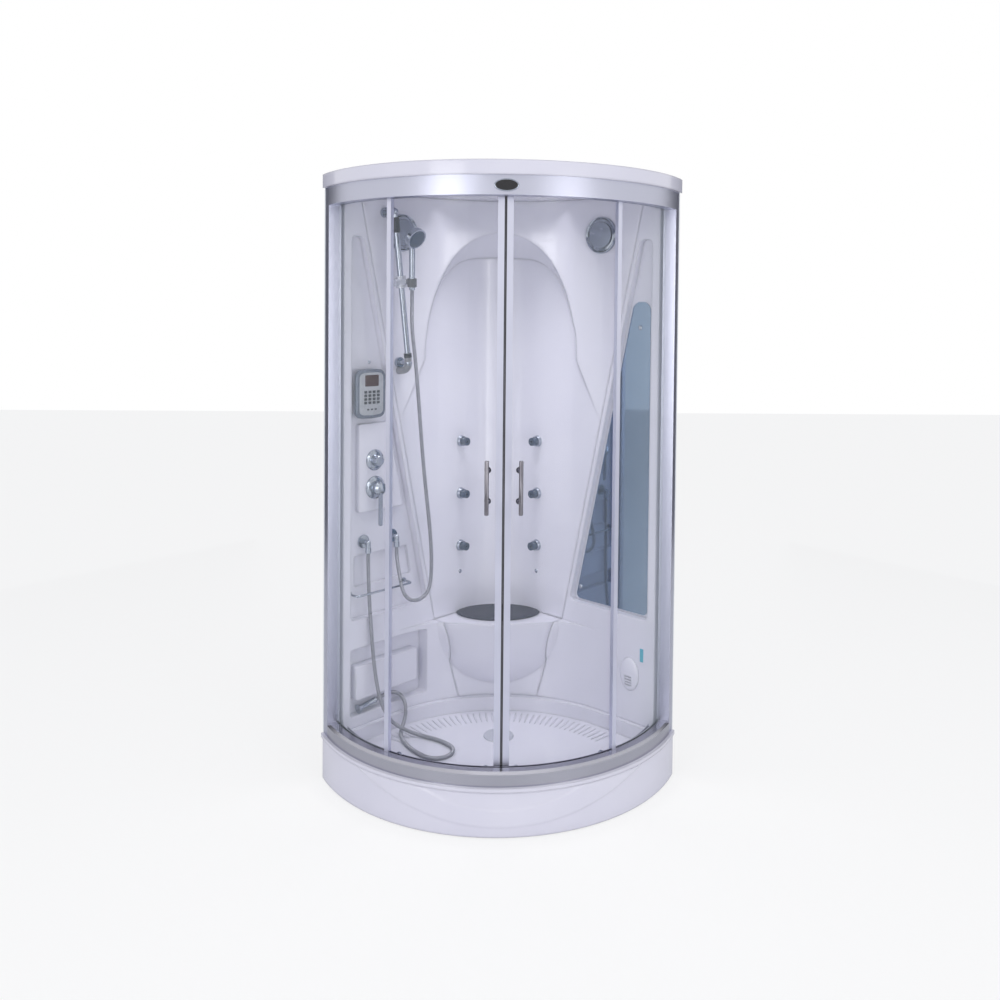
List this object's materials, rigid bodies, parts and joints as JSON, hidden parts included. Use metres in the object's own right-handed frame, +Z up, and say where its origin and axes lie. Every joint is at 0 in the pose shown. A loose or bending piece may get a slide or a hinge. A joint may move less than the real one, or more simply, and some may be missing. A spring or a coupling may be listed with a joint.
{
  "type": "steam shower cabin",
  "caption": "Corner steam shower cabin with a quarter-round front, curved sliding glass doors, moulded back with seat, body jets, mirror, mixer, slide-bar handset and foot shower",
  "frame": {"origin": "centre of the bounding box's floor face: on the floor, midway between the two wall ends and midway between the room corner and the front", "axes": "+Z up, the curved front faces -Y, the room corner is at +Y, +X to the right as seen from the front"},
  "size_m": [1.2728, 1.05, 2.15],
  "materials": {
    "boiler_steel": "brushed",
    "charcoal_pad": "soft foam skin",
    "chrome": "polished",
    "clear_glass": "clear toughened",
    "clear_seal": "milky flexible strip",
    "control_white": "gloss",
    "dark_seal": "matt",
    "drain_plastic": "satin",
    "galvanised_steel": "zinc grey",
    "hose_grey": "ribbed flexible skin",
    "mirror_glass": "blue-grey tint",
    "pipe_brass": "plain",
    "satin_aluminium": "satin anodised",
    "slider_grey": "gloss",
    "spray_blue": "gloss, translucent look",
    "wheel_plastic": "satin",
    "white_acrylic": "gloss moulded acrylic"
  },
  "bodies": {
    "cabin": {"bottom_rail": "satin_aluminium", "control_panel": "control_white", "corner_panel": "white_acrylic", "diverter_body": "chrome", "drain_trap": "drain_plastic", "exhaust_fan": "chrome", "fixed_stiles": "satin_aluminium", "foot_hose": "hose_grey", "foot_sprayer": "spray_blue", "front_apron": "white_acrylic", "handset_hose": "hose_grey", "hose_elbows": "chrome", "jet_rosettes": "chrome", "left_fixed_glass": "clear_glass", "left_wall_panel": "white_acrylic", "mirror": "mirror_glass", "mixer_body": "chrome", "right_fixed_glass": "clear_glass", "right_wall_panel": "white_acrylic", "roof": "white_acrylic", "seat_pad": "charcoal_pad", "shelf_rail": "chrome", "slide_bar": "chrome", "speaker": "chrome", "steam_generator": "boiler_steel", "steam_outlet": "chrome", "supply_pipes": "pipe_brass", "top_rail": "satin_aluminium", "tray": "white_acrylic", "tray_feet": "galvanised_steel", "tray_frame": "galvanised_steel", "wall_channels": "satin_aluminium", "wall_seals": "clear_seal"},
    "left_door": {"left_door_glass": "clear_glass", "left_door_stiles": "satin_aluminium", "left_magnet_seal": "dark_seal", "left_door_handle": "chrome", "left_door_hangers": "chrome"},
    "left_near_wheel_body": {"left_near_wheel": "wheel_plastic"},
    "left_far_wheel_body": {"left_far_wheel": "wheel_plastic"},
    "right_door": {"right_door_glass": "clear_glass", "right_door_stiles": "satin_aluminium", "right_magnet_seal": "dark_seal", "right_door_handle": "chrome", "right_door_hangers": "chrome"},
    "right_near_wheel_body": {"right_near_wheel": "wheel_plastic"},
    "right_far_wheel_body": {"right_far_wheel": "wheel_plastic"},
    "drain_grate": {"drain_cover": "chrome"},
    "diverter": {"diverter_knob": "chrome"},
    "mixer": {"mixer_cap": "chrome"},
    "lever": {"mixer_lever": "chrome"},
    "slider": {"bar_slider": "slider_grey"},
    "handset_unit": {"handset_cradle": "slider_grey", "handset": "spray_blue"},
    "left_upper_nozzle": {"left_upper_jet": "spray_blue"},
    "left_middle_nozzle": {"left_middle_jet": "spray_blue"},
    "left_lower_nozzle": {"left_lower_jet": "spray_blue"},
    "right_upper_nozzle": {"right_upper_jet": "spray_blue"},
    "right_middle_nozzle": {"right_middle_jet": "spray_blue"},
    "right_lower_nozzle": {"right_lower_jet": "spray_blue"}
  },
  "joints": [
    {"name": "right_door_run", "type": "hinge", "parent": "cabin", "child": "right_door", "pos_m": [0, 0.1714, 1.05], "axis": [0, 0, 1], "range_deg": [0, 25]},
    {"name": "left_door_run", "type": "hinge", "parent": "cabin", "child": "left_door", "pos_m": [0, 0.1714, 1.05], "axis": [0, 0, -1], "range_deg": [0, 25]},
    {"name": "right_near_wheel_turn", "type": "hinge", "parent": "right_door", "child": "right_near_wheel_body", "pos_m": [0.04944, -0.44311, 2.0803], "axis": [0.0802, -0.9968, 0], "range_deg": [-1450, 1450]},
    {"name": "right_far_wheel_turn", "type": "hinge", "parent": "right_door", "child": "right_far_wheel_body", "pos_m": [0.33937, -0.34328, 2.0803], "axis": [0.5505, -0.8348, 0], "range_deg": [-1450, 1450]},
    {"name": "left_near_wheel_turn", "type": "hinge", "parent": "left_door", "child": "left_near_wheel_body", "pos_m": [-0.04944, -0.44311, 2.0803], "axis": [-0.0802, -0.9968, 0], "range_deg": [-1450, 1450]},
    {"name": "left_far_wheel_turn", "type": "hinge", "parent": "left_door", "child": "left_far_wheel_body", "pos_m": [-0.33937, -0.34328, 2.0803], "axis": [-0.5505, -0.8348, 0], "range_deg": [-1450, 1450]},
    {"name": "drain_cover_lift", "type": "slide", "parent": "cabin", "child": "drain_grate", "axis": [0, 0, 1], "range_m": [0, 0.02]},
    {"name": "diverter_turn", "type": "hinge", "parent": "cabin", "child": "diverter", "pos_m": [-0.44618, -0.02018, 1.127], "axis": [0.7071, -0.7071, 0], "range_deg": [-60, 60]},
    {"name": "mixer_turn", "type": "hinge", "parent": "cabin", "child": "mixer", "pos_m": [-0.44477, -0.01877, 1.026], "axis": [0.7071, -0.7071, 0], "range_deg": [-45, 45]},
    {"name": "lever_lift", "type": "hinge", "parent": "mixer", "child": "lever", "pos_m": [-0.43749, -0.02605, 1.006], "axis": [-0.7071, -0.7071, 0], "range_deg": [0, 25]},
    {"name": "slider_travel", "type": "slide", "parent": "cabin", "child": "slider", "axis": [-0.0893, -0.0893, 0.992], "range_m": [-0.24, 0.1], "deforming": ["handset_hose"]},
    {"name": "handset_tilt", "type": "hinge", "parent": "slider", "child": "handset_unit", "pos_m": [-0.3464, -0.02787, 1.7796], "axis": [0.7014, 0.7014, 0.1263], "range_deg": [-12, 25], "deforming": ["handset_hose"]},
    {"name": "left_upper_jet_tilt", "type": "hinge", "parent": "cabin", "child": "left_upper_nozzle", "pos_m": [-0.14121, 0.28296, 1.157], "axis": [0.7071, 0.7071, 0], "range_deg": [-12, 12]},
    {"name": "left_middle_jet_tilt", "type": "hinge", "parent": "cabin", "child": "left_middle_nozzle", "pos_m": [-0.14121, 0.28296, 0.9475], "axis": [0.7071, 0.7071, 0], "range_deg": [-12, 12]},
    {"name": "left_lower_jet_tilt", "type": "hinge", "parent": "cabin", "child": "left_lower_nozzle", "pos_m": [-0.14121, 0.28296, 0.738], "axis": [0.7071, 0.7071, 0], "range_deg": [-12, 12]},
    {"name": "right_upper_jet_tilt", "type": "hinge", "parent": "cabin", "child": "right_upper_nozzle", "pos_m": [0.14121, 0.28296, 1.157], "axis": [0.7071, -0.7071, 0], "range_deg": [-12, 12]},
    {"name": "right_middle_jet_tilt", "type": "hinge", "parent": "cabin", "child": "right_middle_nozzle", "pos_m": [0.14121, 0.28296, 0.9475], "axis": [0.7071, -0.7071, 0], "range_deg": [-12, 12]},
    {"name": "right_lower_jet_tilt", "type": "hinge", "parent": "cabin", "child": "right_lower_nozzle", "pos_m": [0.14121, 0.28296, 0.738], "axis": [0.7071, -0.7071, 0], "range_deg": [-12, 12]}
  ],
  "couplings": [
    {"joint": "right_near_wheel_turn", "follows": "right_door_run", "ratio": -56.045},
    {"joint": "right_far_wheel_turn", "follows": "right_door_run", "ratio": -56.045},
    {"joint": "left_near_wheel_turn", "follows": "left_door_run", "ratio": 56.045},
    {"joint": "left_far_wheel_turn", "follows": "left_door_run", "ratio": 56.045}
  ]
}
